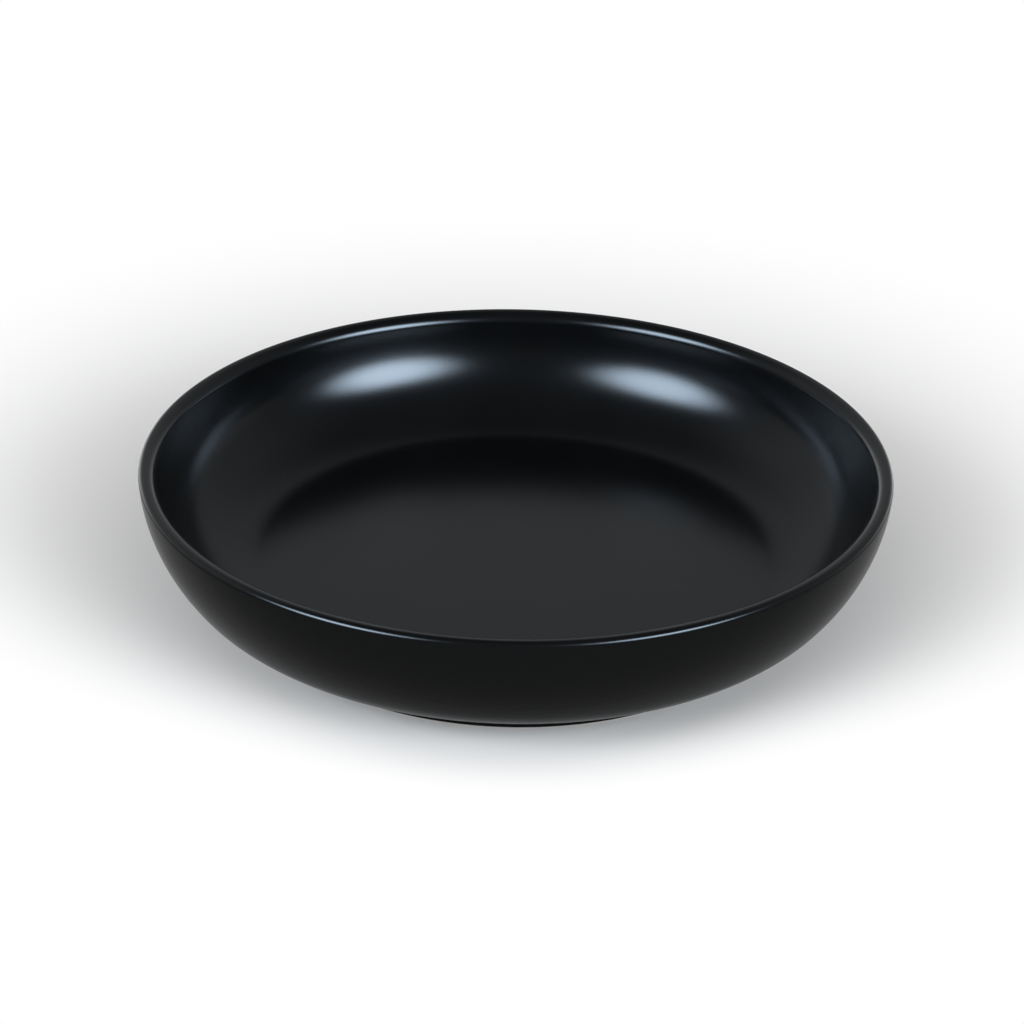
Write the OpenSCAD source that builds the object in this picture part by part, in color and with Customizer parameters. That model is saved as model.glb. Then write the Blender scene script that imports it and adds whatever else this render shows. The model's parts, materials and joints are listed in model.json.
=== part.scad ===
// Soup plate: a deep stoneware dish on a foot ring, under a satin black glaze.
// Millimetres. It stands on z = 0, with its axis on z.

/* [Plate] */
// Diameter over the glazed lip
plate_d = 210; // [180:1:240]
// Height from the table to the top of the lip
plate_h = 43; // [37:0.5:48]
// Thickness of the floor with its glaze, above and below
floor_t = 5.4; // [4:0.1:6]

/* [Wall outside] */
// Radius of the bend from the underside into the wall
bend_r = 24.5; // [20:0.5:30]
// Radius of the long sweep from that bend to the lip
sweep_r = 47; // [42:1:80]
// Lean of the wall from upright just under the lip, in degrees
wall_lean = 4.2; // [2:0.1:6]

/* [Wall inside] */
// Radius of the bend from the floor into the wall
well_bend_r = 27; // [22:0.5:30]
// Radius of the sweep from that bend to the lip
well_sweep_r = 45; // [36:1:80]

/* [Lip] */
// Rounding from the crest to the outside
lip_outer_r = 1.6; // [1:0.1:2.4]
// Rounding from the crest to the inside
lip_inner_r = 3.4; // [2:0.1:4]

/* [Foot ring] */
// Height from the table to the underside of the dish
foot_h = 6.2; // [4:0.1:8]
// Width of the ring with its glaze on both flanks
foot_w = 6; // [4:0.1:9]
// How far each flank draws in on its way down
foot_taper = 0.5; // [0:0.1:1]
// Bevel along both edges of the standing face
foot_bevel = 0.3; // [0.2:0.05:0.6]

/* [Glaze] */
// Thickness of the glaze
glaze_t = 0.4; // [0.3:0.05:0.6]
// Radius of the glaze pooled in the corner beside the ring
pool_r = 0.9; // [0.5:0.05:1.5]

/* [Hidden] */
$fn = 180;

clay_color = [0.55, 0.50, 0.44];
ring_color = [0.60, 0.55, 0.48];
glaze_color = [0.035, 0.036, 0.038];
recess_color = [0.05, 0.05, 0.052];

bend_limit = 0.98;
floor_z = foot_h + floor_t;
lip_slope = 90 - wall_lean;
crest_r = plate_d / 2 - lip_outer_r;

// Outside wall: the bend turns up to bend_a, and the sweep carries it on to the slope under the lip.
wall_rise = plate_h - foot_h - lip_outer_r * (1 + cos(lip_slope));
bend_a = acos((wall_rise - bend_r + sweep_r * cos(lip_slope)) / (sweep_r - bend_r));
lip_out_c = [crest_r, plate_h - lip_outer_r];
sweep_c = lip_out_c - (sweep_r - lip_outer_r) * [sin(lip_slope), -cos(lip_slope)];
bend_c = sweep_c + (sweep_r - bend_r) * [sin(bend_a), -cos(bend_a)];

// Inside wall, the same way from the floor of the well. One arc from floor to lip would have
// well_arc_r, and the bend is limited to a little less.
well_rise = plate_h - floor_z - lip_inner_r * (1 - cos(lip_slope));
well_arc_r = well_rise / (1 - cos(lip_slope));
well_bend = min(well_bend_r, bend_limit * well_arc_r);
well_a = acos((well_rise - well_bend + well_sweep_r * cos(lip_slope)) / (well_sweep_r - well_bend));
lip_in_c = [crest_r, plate_h - lip_inner_r];
well_sweep_c = lip_in_c - (lip_inner_r + well_sweep_r) * [sin(lip_slope), -cos(lip_slope)];
well_bend_c = well_sweep_c + (well_sweep_r - well_bend) * [sin(well_a), -cos(well_a)];

// Foot ring: its outer flank stands where the underside's flat ends.
ring_out = bend_c[0] - pool_r;
ring_in = ring_out - foot_w;
flank_z = foot_h - pool_r;

step_a = 3;

// Points along an arc up to its end, which is left to the next stretch.
function arc(c, r, from, to) =
    let(n = ceil(abs(to - from) / step_a))
    [for (i = [0:n - 1]) let(a = from + (to - from) * i / n) c + r * [cos(a), sin(a)]];

function turned(points) = [for (i = [len(points) - 1:-1:0]) points[i]];

// Outside from the start of the bend up to the crest, at a depth under the glaze's surface.
function outside(depth) = concat(
    arc(bend_c, bend_r - depth, -90, bend_a - 90),
    arc(sweep_c, sweep_r - depth, bend_a - 90, lip_slope - 90),
    arc(lip_out_c, lip_outer_r - depth, lip_slope - 90, 90));

// Inside from the crest down to the axis, at a depth under the glaze's surface.
function inside(depth) = concat(
    arc(lip_in_c, lip_inner_r - depth, 90, 90 + lip_slope),
    arc(well_sweep_c, well_sweep_r + depth, lip_slope - 90, well_a - 90),
    arc(well_bend_c, well_bend + depth, well_a - 90, -90),
    [[well_bend_c[0], floor_z - depth], [0, floor_z - depth]]);

// Fired stoneware dish, under the glaze
module clay_body() {
    color(clay_color)
        rotate_extrude()
            polygon(concat(outside(glaze_t), inside(glaze_t), [[0, foot_h + glaze_t]]));
}

// Clay ring luted to the flat underside, with a bare standing face
module foot_ring() {
    top = foot_h + glaze_t;
    a = ring_in + glaze_t;
    b = ring_out - glaze_t;
    heel = foot_taper + foot_bevel;
    color(ring_color)
        rotate_extrude()
            polygon([
                [a + heel, 0], [b - heel, 0], [b - foot_taper, foot_bevel], [b, flank_z], [b, top],
                [a, top], [a, flank_z], [a + foot_taper, foot_bevel]]);
}

// Glaze over the inside, the lip, the outside and the ring's outer flank
module glaze_coat() {
    b = ring_out - glaze_t;
    color(glaze_color)
        rotate_extrude()
            polygon(concat(
                [[ring_out - foot_taper, foot_bevel]],
                arc([ring_out + pool_r, flank_z], pool_r, 180, 90),
                outside(0),
                inside(0),
                turned(inside(glaze_t)),
                turned(outside(glaze_t)),
                [[b, foot_h + glaze_t], [b, flank_z], [b - foot_taper, foot_bevel]]));
}

// Glaze in the recess and on the ring's inner flank
module base_glaze() {
    a = ring_in + glaze_t;
    color(recess_color)
        rotate_extrude()
            polygon(concat(
                [[0, foot_h]],
                arc([ring_in - pool_r, flank_z], pool_r, 90, 0),
                [[ring_in, flank_z], [ring_in + foot_taper, foot_bevel], [a + foot_taper, foot_bevel]],
                [[a, flank_z], [a, foot_h + glaze_t], [0, foot_h + glaze_t]]));
}

clay_body();
foot_ring();
glaze_coat();
base_glaze();
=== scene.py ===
import json
from math import acos, ceil, cos, degrees, radians, sin

import bmesh
import bpy
from mathutils import Matrix, Vector


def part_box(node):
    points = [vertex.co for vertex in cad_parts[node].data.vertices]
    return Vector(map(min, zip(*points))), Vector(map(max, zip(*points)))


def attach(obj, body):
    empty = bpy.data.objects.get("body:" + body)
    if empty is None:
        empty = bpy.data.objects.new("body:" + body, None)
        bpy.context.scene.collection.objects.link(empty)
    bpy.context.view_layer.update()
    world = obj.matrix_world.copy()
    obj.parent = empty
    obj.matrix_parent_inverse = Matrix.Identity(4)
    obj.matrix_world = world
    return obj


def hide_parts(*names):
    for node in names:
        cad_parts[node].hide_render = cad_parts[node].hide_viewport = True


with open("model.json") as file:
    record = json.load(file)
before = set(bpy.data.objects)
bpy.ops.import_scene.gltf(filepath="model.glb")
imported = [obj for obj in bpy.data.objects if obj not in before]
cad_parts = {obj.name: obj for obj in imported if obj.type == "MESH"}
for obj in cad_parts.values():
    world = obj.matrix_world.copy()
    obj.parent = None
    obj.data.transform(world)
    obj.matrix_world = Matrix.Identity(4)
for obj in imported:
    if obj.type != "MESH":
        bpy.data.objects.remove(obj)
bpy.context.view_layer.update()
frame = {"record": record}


# Clay body
# The dish itself: a stoneware floor, a wall that bends up from it and a rounded lip. It is turned on a
# wheel from one lump, so its section is a chain of arcs. The glaze seals the fired clay all round.
MM = 0.001
coat_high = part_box("glaze_coat")[1]
clay_low, clay_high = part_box("clay_body")
mounts = {m["name"]: Vector(m["pos_m"]) for m in frame["record"]["mounts"]}
lip_r = coat_high.x
lip_z = coat_high.z
glaze_t = coat_high.z - clay_high.z
base_z = clay_low.z - glaze_t
clay_base_z = base_z + glaze_t
floor_z = mounts["well_floor"].z

bend_r = 24.5 * MM
sweep_r = 47 * MM
well_bend_r = 27 * MM
well_sweep_r = 45 * MM
lip_outer_r = 1.6 * MM
lip_inner_r = 3.4 * MM
wall_lean = 4.2
lip_slope = 90 - wall_lean


def slope_point(centre, radius, slope):
    """The point at that radius from an arc's centre, on the side where the section has that slope."""
    return centre + radius * Vector((sin(radians(slope)), -cos(radians(slope))))


wall_rise = lip_z - base_z - lip_outer_r * (1 + cos(radians(lip_slope)))
wall_reach = wall_rise - bend_r + sweep_r * cos(radians(lip_slope))
bend_slope = degrees(acos(wall_reach / (sweep_r - bend_r)))
lip_outer_c = Vector((lip_r - lip_outer_r, lip_z - lip_outer_r))
sweep_c = slope_point(lip_outer_c, lip_outer_r - sweep_r, lip_slope)
bend_c = slope_point(sweep_c, sweep_r - bend_r, bend_slope)

well_rise = lip_z - floor_z - lip_inner_r * (1 - cos(radians(lip_slope)))
well_reach = well_rise - well_bend_r + well_sweep_r * cos(radians(lip_slope))
well_slope = degrees(acos(well_reach / (well_sweep_r - well_bend_r)))
lip_inner_c = Vector((lip_r - lip_outer_r, lip_z - lip_inner_r))
well_sweep_c = slope_point(lip_inner_c, -lip_inner_r - well_sweep_r, lip_slope)
well_bend_c = slope_point(well_sweep_c, well_sweep_r - well_bend_r, well_slope)

# Where a flat gets its rings of vertices, in shares of its radius from the edge inwards
flat_rings = (0.985, 0.7, 0.4, 0.15)
turn_steps = 256
weld = 0.001 * MM


def stretch(bm, tip, r, z):
    """Draws the section on from its tip in a straight line."""
    grown = bmesh.ops.extrude_vert_indiv(bm, verts=[tip])["verts"][0]
    grown.co = (r, 0, z)
    return grown


def sweep(bm, tip, centre, turn, pace):
    """Draws the section on from its tip in an arc about a centre, turn degrees in steps of pace."""
    swept = bmesh.ops.spin(
        bm, geom=[tip], cent=(centre.x, 0, centre.y), axis=(0, -1, 0),
        angle=radians(turn), steps=ceil(abs(turn) / pace))
    return [g for g in swept["geom_last"] if isinstance(g, bmesh.types.BMVert)][0]


def over_the_lip(bm, tip, depth, pace):
    """Draws the section from the outer bend up over the lip and down to the middle of the well."""
    lip_pace = 2 * pace
    tip = sweep(bm, tip, bend_c, bend_slope, pace)
    tip = sweep(bm, tip, sweep_c, lip_slope - bend_slope, pace)
    tip = sweep(bm, tip, lip_outer_c, 180 - lip_slope, lip_pace)
    tip = sweep(bm, tip, lip_inner_c, lip_slope, lip_pace)
    tip = sweep(bm, tip, well_sweep_c, well_slope - lip_slope, pace)
    tip = sweep(bm, tip, well_bend_c, -well_slope, pace)
    for share in (*flat_rings, 0):
        tip = stretch(bm, tip, share * well_bend_c.x, floor_z - depth)


def turned_piece(name, node, bm, material):
    """Turns a section about the plate's axis and makes it the piece that stands for its CAD node."""
    bmesh.ops.spin(
        bm, geom=bm.verts[:] + bm.edges[:], cent=(0, 0, 0), axis=(0, 0, 1),
        angle=radians(360), steps=turn_steps, use_merge=True)
    bmesh.ops.remove_doubles(bm, verts=bm.verts[:], dist=weld)
    bmesh.ops.recalc_face_normals(bm, faces=bm.faces[:])
    for face in bm.faces:
        face.smooth = True
    mesh = bpy.data.meshes.new(name)
    bm.to_mesh(mesh)
    bm.free()
    mesh.materials.append(material)
    piece = bpy.data.objects.new(name, mesh)
    bpy.context.scene.collection.objects.link(piece)
    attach(piece, "root")
    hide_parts(node)
    return piece


def new_group(name, inputs, outputs):
    """An empty shader group with named sockets: (name, kind, starting value) in, (name, kind) out."""
    group = bpy.data.node_groups.new(name, "ShaderNodeTree")
    for socket, kind, value in inputs:
        made = group.interface.new_socket(socket, in_out="INPUT", socket_type="NodeSocket" + kind)
        made.default_value = value
    for socket, kind in outputs:
        group.interface.new_socket(socket, in_out="OUTPUT", socket_type="NodeSocket" + kind)
    return group, group.nodes.new("NodeGroupInput").outputs, group.nodes.new("NodeGroupOutput").inputs


def add(tree, kind, links=None, values=None, **settings):
    """A shader node with its settings, its socket values and its links from other sockets."""
    node = tree.nodes.new("ShaderNode" + kind)
    for key, value in settings.items():
        setattr(node, key, value)
    for socket, value in (values or {}).items():
        node.inputs[socket].default_value = value
    for socket, source in (links or {}).items():
        tree.links.new(source, node.inputs[socket])
    return node


def object_place(tree):
    """The point's own place on the piece, in metres."""
    return add(tree, "TexCoord").outputs["Object"]


# Most of the noise lies between these two values
noise_low = 0.3
noise_high = 0.7


def noise(tree, place, size, detail):
    """Soft noise with features about size across."""
    return add(tree, "TexNoise", {"Vector": place}, {"Scale": 1 / size, "Detail": detail}).outputs["Fac"]


def cells(tree, place, size):
    """Scattered points about size apart, as the distance to the nearest in shares of that size."""
    return add(tree, "TexVoronoi", {"Vector": place}, {"Scale": 1 / size}).outputs["Distance"]


def ramp(tree, value, low, high, to_low=0.0, to_high=1.0, smooth=True):
    """Maps a value from one range to another, held at both ends."""
    kind = "SMOOTHSTEP" if smooth else "LINEAR"
    ends = {"From Min": low, "From Max": high, "To Min": to_low, "To Max": to_high}
    return add(tree, "MapRange", {"Value": value}, ends, interpolation_type=kind).outputs["Result"]


def mix(tree, share, a, b):
    """Mixes two colours, each a socket or a plain colour."""
    node = add(tree, "Mix", {"Factor": share}, data_type="RGBA")
    for socket, colour in zip([s for s in node.inputs if s.type == "RGBA"], (a, b)):
        if isinstance(colour, bpy.types.NodeSocket):
            tree.links.new(colour, socket)
        else:
            socket.default_value = (*colour, 1)
    return [s for s in node.outputs if s.type == "RGBA"][0]


def calc(tree, operation, a, b):
    """One sum on two values, each a socket or a plain number."""
    node = add(tree, "Math", operation=operation)
    for socket, value in zip(node.inputs, (a, b)):
        if isinstance(value, bpy.types.NodeSocket):
            tree.links.new(value, socket)
        else:
            socket.default_value = value
    return node.outputs[0]


def stoneware_grain():
    """Fired clay: cloudy tone, fine sand and dark iron specks."""
    cloud_size = 18 * MM
    cloud_low = 0.35
    cloud_high = 0.65
    sand_size = 0.5 * MM
    sand_tone = 0.35
    sand_smooth = 0.78
    sand_rough = 0.95
    speck_gap = 1.6 * MM
    speck_edge = 0.22
    speck_core = 0.12
    speck_sink = 0.5
    group, given, result = new_group(
        "stoneware_grain",
        [("Pale", "Color", (0.6, 0.55, 0.48, 1)), ("Toasted", "Color", (0.5, 0.42, 0.33, 1)),
         ("Iron", "Color", (0.12, 0.08, 0.06, 1))],
        [("Color", "Color"), ("Roughness", "Float"), ("Height", "Float")])
    place = object_place(group)
    cloud = ramp(group, noise(group, place, cloud_size, detail=4), cloud_low, cloud_high)
    sand = noise(group, place, sand_size, detail=3)
    iron = ramp(group, cells(group, place, speck_gap), speck_edge, speck_core)
    tone = mix(group, cloud, given["Pale"], given["Toasted"])
    toasting = ramp(group, sand, noise_low, noise_high, to_high=sand_tone)
    sandy = mix(group, toasting, tone, given["Toasted"])
    roughness = ramp(group, sand, noise_low, noise_high, sand_smooth, sand_rough)
    height = calc(group, "SUBTRACT", sand, calc(group, "MULTIPLY", iron, speck_sink))
    group.links.new(mix(group, iron, sandy, given["Iron"]), result["Color"])
    group.links.new(roughness, result["Roughness"])
    group.links.new(height, result["Height"])
    return group


grain_group = stoneware_grain()


def clay_material(name, pale, toasted):
    """Unglazed stoneware in two tones, with its grain standing out a little."""
    material = bpy.data.materials.new(name)
    material.use_nodes = True
    tree = material.node_tree
    tones = {"Pale": (*pale, 1), "Toasted": (*toasted, 1)}
    grain = add(tree, "Group", values=tones, node_tree=grain_group).outputs
    bump = add(tree, "Bump", {"Height": grain["Height"]}, {"Strength": 0.6, "Distance": 0.06 * MM})
    shader = tree.nodes["Principled BSDF"].inputs
    shader["Specular IOR Level"].default_value = 0.3
    tree.links.new(grain["Color"], shader["Base Color"])
    tree.links.new(grain["Roughness"], shader["Roughness"])
    tree.links.new(bump.outputs["Normal"], shader["Normal"])
    return material


section = bmesh.new()
tip = section.verts.new((0, 0, clay_base_z))
for share in (*reversed(flat_rings), 1):
    tip = stretch(section, tip, share * bend_c.x, clay_base_z)
over_the_lip(section, tip, glaze_t, pace=4)
clay = clay_material("fired_clay", pale=(0.56, 0.51, 0.44), toasted=(0.46, 0.39, 0.31))
turned_piece("clay_dish", "clay_body", section, clay)


# Foot ring
# A low ring of the same clay, luted under the floor and trimmed on the wheel. Its standing face is wiped
# clean before firing, so bare clay shows there, with its two edges rubbed round.
ring_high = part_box("foot_ring")[1]
recess_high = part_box("base_glaze")[1]
pool_r = 0.9 * MM
foot_taper = 0.5 * MM
foot_bevel = 0.3 * MM
edge_soft = 0.12 * MM
ring_out = ring_high.x
ring_in = recess_high.x - foot_taper
flank_z = base_z - pool_r
heel = foot_taper + foot_bevel

inner_side = ((ring_in, flank_z), (ring_in + foot_taper, foot_bevel))
standing_face = ((ring_in + heel, 0), (ring_out - heel, 0))
outer_side = ((ring_out - foot_taper, foot_bevel), (ring_out, flank_z), (ring_out, ring_high.z))

section = bmesh.new()
first = section.verts.new((ring_in, 0, ring_high.z))
tip = first
for r, z in (*inner_side, *standing_face, *outer_side):
    tip = stretch(section, tip, r, z)
section.edges.new((tip, first))
bare = clay_material("bare_clay", pale=(0.62, 0.57, 0.49), toasted=(0.52, 0.45, 0.36))
ring = turned_piece("clay_foot", "foot_ring", section, bare)
soft_edges = ring.modifiers.new("soft_edges", "BEVEL")
soft_edges.width = edge_soft
soft_edges.segments = 3
soft_edges.limit_method = "ANGLE"
soft_edges.angle_limit = radians(20)


# Glaze coat
# One skin of satin black glaze over the well, the lip and the outside, down to just above the table. It
# is poured inside and brushed outside, where it is thinner and drier. It pools over the foot ring and ends
# there in a rounded bead.
def length(tree, vector):
    """The length of a vector."""
    return add(tree, "VectorMath", {0: vector}, operation="LENGTH").outputs["Value"]


def satin_glaze():
    """Satin glaze: faint clouds, a silky mottle, a fired ripple, a few pinholes and a drier outside."""
    cloud_size = 30 * MM
    silk_size = 0.6 * MM
    silk_rise = 0.7
    ripple_size = 5 * MM
    pin_gap = 10 * MM
    pin_edge = 0.024
    pin_core = 0.014
    pin_sink = 1.5
    poured_t = 1.5 * MM
    dry_t = 4.0 * MM
    lip_glossy = 0.7 * MM
    lip_dry = 1.15 * MM
    group, given, result = new_group(
        "satin_glaze",
        [("Deep", "Color", (0.0025, 0.0026, 0.0027, 1)), ("Thin", "Color", (0.005, 0.005, 0.005, 1)),
         ("Dry", "Color", (0.005, 0.005, 0.005, 1)), ("Pinhole", "Color", (0.03, 0.03, 0.03, 1)),
         ("Smooth", "Float", 0.2), ("Silky", "Float", 0.25)],
        [("Color", "Color"), ("Roughness", "Float"), ("Gloss", "Float"), ("Height", "Float")])
    place = object_place(group)
    cloud = ramp(group, noise(group, place, cloud_size, detail=3), noise_low, noise_high)
    silk = noise(group, place, silk_size, detail=2)
    ripple = noise(group, place, ripple_size, detail=1)
    pin = ramp(group, cells(group, place, pin_gap), pin_edge, pin_core)
    finish = add(
        group, "MapRange", {"Value": silk, "To Min": given["Smooth"], "To Max": given["Silky"]},
        {"From Min": noise_low, "From Max": noise_high})

    # The gloss goes a little way into the wall from the well, and a little way down from the lip's crest.
    level = add(group, "VectorMath", {0: place}, {1: (1, 1, 0)}, operation="MULTIPLY").outputs[0]
    height = add(group, "SeparateXYZ", {0: place}).outputs["Z"]
    beyond = calc(group, "MAXIMUM", calc(group, "SUBTRACT", length(group, level), well_bend_c.x), 0)
    below = calc(group, "SUBTRACT", height, well_bend_c.y)
    depth = length(group, add(group, "CombineXYZ", {"X": beyond, "Z": below}).outputs[0])
    poured = ramp(group, depth, well_bend_r + dry_t, well_bend_r + poured_t)
    lip = ramp(group, height, lip_z - lip_dry, lip_z - lip_glossy)
    gloss = calc(group, "MAXIMUM", poured, lip)

    body = mix(group, gloss, given["Dry"], mix(group, cloud, given["Deep"], given["Thin"]))
    skin = calc(group, "ADD", ripple, calc(group, "MULTIPLY", silk, silk_rise))
    pitted = calc(group, "SUBTRACT", skin, calc(group, "MULTIPLY", pin, pin_sink))
    group.links.new(mix(group, pin, body, given["Pinhole"]), result["Color"])
    group.links.new(finish.outputs["Result"], result["Roughness"])
    group.links.new(gloss, result["Gloss"])
    group.links.new(pitted, result["Height"])
    return group


glaze_group = satin_glaze()


def glaze_material(name, deep, thin, dry, smooth, silky):
    """A glaze between two tones and two roughnesses, with a third tone where it is dry."""
    material = bpy.data.materials.new(name)
    material.use_nodes = True
    tree = material.node_tree
    look = {"Deep": (*deep, 1), "Thin": (*thin, 1), "Dry": (*dry, 1), "Smooth": smooth, "Silky": silky}
    skin = add(tree, "Group", values=look, node_tree=glaze_group).outputs
    bump = add(tree, "Bump", {"Height": skin["Height"]}, {"Strength": 0.5, "Distance": 0.02 * MM})
    shader = tree.nodes["Principled BSDF"].inputs
    shader["IOR"].default_value = 1.08
    shader["Coat IOR"].default_value = 1.52
    shader["Coat Roughness"].default_value = 0.2
    tree.links.new(skin["Color"], shader["Base Color"])
    tree.links.new(skin["Roughness"], shader["Roughness"])
    tree.links.new(skin["Gloss"], shader["Coat Weight"])
    tree.links.new(bump.outputs["Normal"], shader["Coat Normal"])
    tree.links.new(bump.outputs["Normal"], shader["Normal"])
    return material


bead_r = glaze_t / 2
bead_z = foot_bevel + bead_r
flank_out = ring_out + glaze_t
pool_pace = 10
bead_pace = 22.5

section = bmesh.new()
outer_end = section.verts.new((flank_out - foot_taper, 0, bead_z))
tip = stretch(section, outer_end, flank_out, flank_z)
tip = sweep(section, tip, Vector((flank_out + pool_r, flank_z)), -90, pool_pace)
over_the_lip(section, tip, 0, pace=2)
tip = sweep(section, outer_end, Vector((flank_out - foot_taper - bead_r, bead_z)), -180, bead_pace)
tip = stretch(section, tip, ring_out, flank_z)
tip = stretch(section, tip, ring_out, clay_base_z)
tip = stretch(section, tip, bend_c.x, clay_base_z)
over_the_lip(section, tip, glaze_t, pace=6)
black = glaze_material(
    "black_glaze", deep=(0.0018, 0.0018, 0.0018), thin=(0.0026, 0.0026, 0.0026),
    dry=(0.0053, 0.0048, 0.0043), smooth=0.18, silky=0.22)
turned_piece("glaze_skin", "glaze_coat", section, black)


# Base glaze
# A patch of the same glaze in the recess inside the foot ring, brushed on a little thinner than the coat.
# It pools in the corner under the floor and runs down the ring's inner flank to the same small bead.
flank_in = ring_in - glaze_t
recess_r = flank_in - pool_r

section = bmesh.new()
inner_end = section.verts.new((flank_in + foot_taper, 0, bead_z))
tip = stretch(section, inner_end, flank_in, flank_z)
tip = sweep(section, tip, Vector((recess_r, flank_z)), 90, pool_pace)
for share in (*flat_rings, 0):
    tip = stretch(section, tip, share * recess_r, base_z)
tip = sweep(section, inner_end, Vector((flank_in + foot_taper + bead_r, bead_z)), 180, bead_pace)
tip = stretch(section, tip, ring_in, flank_z)
tip = stretch(section, tip, ring_in, clay_base_z)
stretch(section, tip, 0, clay_base_z)
recess = glaze_material(
    "recess_glaze", deep=(0.0034, 0.0034, 0.0034), thin=(0.0075, 0.0068, 0.006),
    dry=(0.0065, 0.006, 0.0055), smooth=0.24, silky=0.34)
turned_piece("recess_skin", "base_glaze", section, recess)


# Floor
# A plain pale table top that keeps the plate's shadow and fades to a white background further out,
# soonest in front of the plate and latest behind it. Front and back are told by the sine of the bearing.
table_tone = (0.92, 0.762, 0.648)
near_edge = 0.080
front_edge = 0.108
back_edge = 0.300
front_sine = -1.0
back_sine = 1.3
floor_r = 8.0

bm = bmesh.new()
bmesh.ops.create_circle(bm, cap_ends=True, segments=64, radius=floor_r)
floor_mesh = bpy.data.meshes.new("floor")
bm.to_mesh(floor_mesh)
bm.free()
floor = bpy.data.objects.new("floor", floor_mesh)
bpy.context.scene.collection.objects.link(floor)
table = bpy.data.materials.new("pale_table")
table.use_nodes = True
tree = table.node_tree
top = tree.nodes["Principled BSDF"]
top.inputs["Base Color"].default_value = (*table_tone, 1)
top.inputs["Roughness"].default_value = 0.9
top.inputs["Specular IOR Level"].default_value = 0.1
white = add(tree, "Emission")
place = object_place(tree)
away = length(tree, place)
towards_back = calc(tree, "DIVIDE", add(tree, "SeparateXYZ", {0: place}).outputs["Y"], away)
far_edge = ramp(tree, towards_back, front_sine, back_sine, front_edge, back_edge)
whiter = add(
    tree, "MapRange", {"Value": away, "From Max": far_edge}, {"From Min": near_edge},
    interpolation_type="SMOOTHSTEP").outputs["Result"]
rays = add(tree, "LightPath").outputs
seen = calc(tree, "ADD", rays["Is Camera Ray"], rays["Is Glossy Ray"])
seen = calc(tree, "ADD", seen, rays["Is Transmission Ray"])
fade = calc(tree, "MULTIPLY", seen, whiter)
blend = add(tree, "MixShader", {0: fade, 1: top.outputs["BSDF"], 2: white.outputs["Emission"]})
tree.links.new(blend.outputs["Shader"], tree.nodes["Material Output"].inputs["Surface"])
floor_mesh.materials.append(table)


# Light
# Two cool soft boxes in front, to the left and right of the camera, and a dim room. The room is brighter
# behind the plate, most of all low and to the left, and dark overhead.
aim = Vector((0, 0, 0.020))
box_wide = 1.85
box_high = 1.45
box_away = 2.0
box_tint = (0.65, 0.82, 1.0)
box_full = 0.3
box_end = 1.05


def soft_box(name, azimuth, elevation, power):
    """A soft box that fades out towards its edge. Azimuth counts from the camera's side to the right."""
    lamp = bpy.data.lights.new(name, "AREA")
    lamp.shape = "RECTANGLE"
    lamp.size = box_wide
    lamp.size_y = box_high
    lamp.energy = power
    lamp.color = box_tint
    lamp.use_nodes = True
    tree = lamp.node_tree
    spot = add(tree, "NewGeometry").outputs["Parametric"]
    centred = add(
        tree, "VectorMath", {0: spot}, {1: (2, 2, 0), 2: (-1, -1, 0)}, operation="MULTIPLY_ADD")
    strength = ramp(tree, length(tree, centred.outputs[0]), box_end, box_full)
    tree.links.new(strength, tree.nodes["Emission"].inputs["Strength"])
    box = bpy.data.objects.new(name, lamp)
    bpy.context.scene.collection.objects.link(box)
    a = radians(azimuth)
    e = radians(elevation)
    away = Vector((sin(a) * cos(e), -cos(a) * cos(e), sin(e)))
    box.location = aim + away * box_away
    box.rotation_euler = away.to_track_quat("Z", "Y").to_euler()


soft_box("left_box", azimuth=-51.5, elevation=27, power=123)
soft_box("right_box", azimuth=45, elevation=22, power=140)

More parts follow.
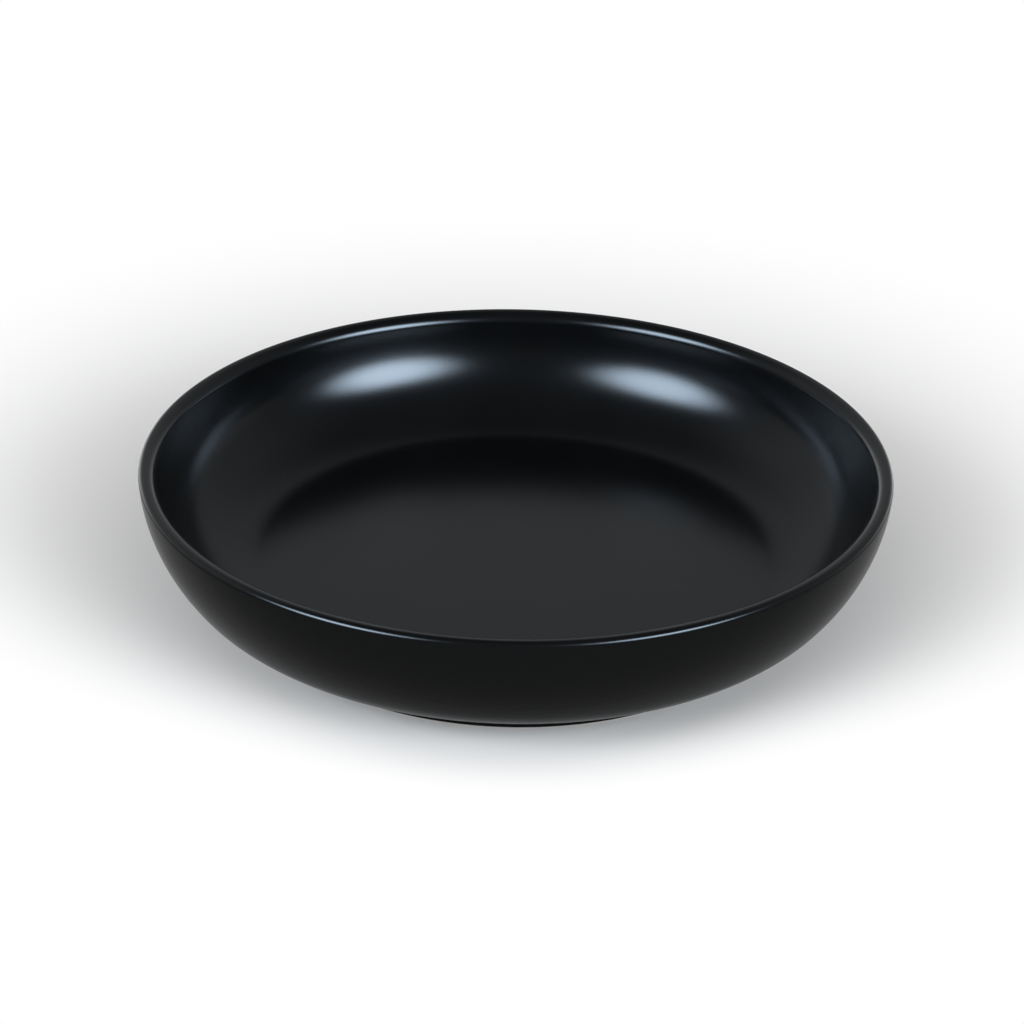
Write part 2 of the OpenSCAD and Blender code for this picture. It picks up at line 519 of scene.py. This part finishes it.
# Tones of the room, and where they change: in degrees of height, or in parts of the way across or back
wall_left = (0.315, 0.331, 0.339)
wall_right = (0.205, 0.215, 0.22)
glow_left = (1.0, 1.04, 1.07)
glow_right = (0.28, 0.29, 0.3)
shade = (0.063, 0.066, 0.068)
wall_side = 0.8
glow_gap = 0.05
glow_gap_end = 0.30
glow_start = -0.85
glow_full = -0.55
glow_low = 7
glow_top = 17
lid_start = 31
lid_full = 68
back_side = 0.3

world = bpy.data.worlds.new("room")
bpy.context.scene.world = world
world.use_nodes = True
tree = world.node_tree
way = add(tree, "SeparateXYZ", {0: add(tree, "TexCoord").outputs["Generated"]}).outputs
height = add(tree, "Math", {0: way["Z"]}, operation="ARCSINE").outputs[0]
across = ramp(tree, way["X"], -wall_side, wall_side, smooth=False)
wall = mix(tree, across, wall_left, wall_right)
glow = mix(tree, across, glow_left, glow_right)
aside = add(tree, "Math", {0: way["X"]}, operation="ABSOLUTE").outputs[0]
side = ramp(tree, aside, glow_gap, glow_gap_end)
side = calc(tree, "MULTIPLY", side, ramp(tree, way["X"], glow_start, glow_full))
low = ramp(tree, height, radians(glow_top), radians(glow_low))
backdrop = mix(tree, calc(tree, "MULTIPLY", side, low), wall, glow)
lid = ramp(tree, height, radians(lid_start), radians(lid_full))
back_half = mix(tree, lid, backdrop, shade)
behind = ramp(tree, way["Y"], -back_side, back_side)
tree.links.new(mix(tree, behind, shade, back_half), tree.nodes["Background"].inputs["Color"])


# Camera
# It stands as the photograph's did, turned a little about its own axis. The point that it aims at falls
# on aim_px of the picture.
image_px = 1024
focal_px = 3547.5
aim_px = (514.9, 533.0)
distance = 1.0
elevation = radians(27.46)
roll = radians(1.03)

lens = bpy.data.cameras.new("camera")
lens.sensor_width = 36
lens.lens = focal_px * lens.sensor_width / image_px
lens.shift_x = (image_px / 2 - aim_px[0]) / image_px
lens.shift_y = (aim_px[1] - image_px / 2) / image_px
camera = bpy.data.objects.new("camera", lens)
bpy.context.scene.collection.objects.link(camera)
ahead = Vector((0, cos(elevation), -sin(elevation)))
stand = ahead.to_track_quat("-Z", "Y").to_matrix() @ Matrix.Rotation(roll, 3, "Z")
camera.matrix_world = Matrix.Translation(aim - ahead * distance) @ stand.to_4x4()
bpy.context.scene.camera = camera
bpy.context.scene.view_settings.view_transform = "Standard"
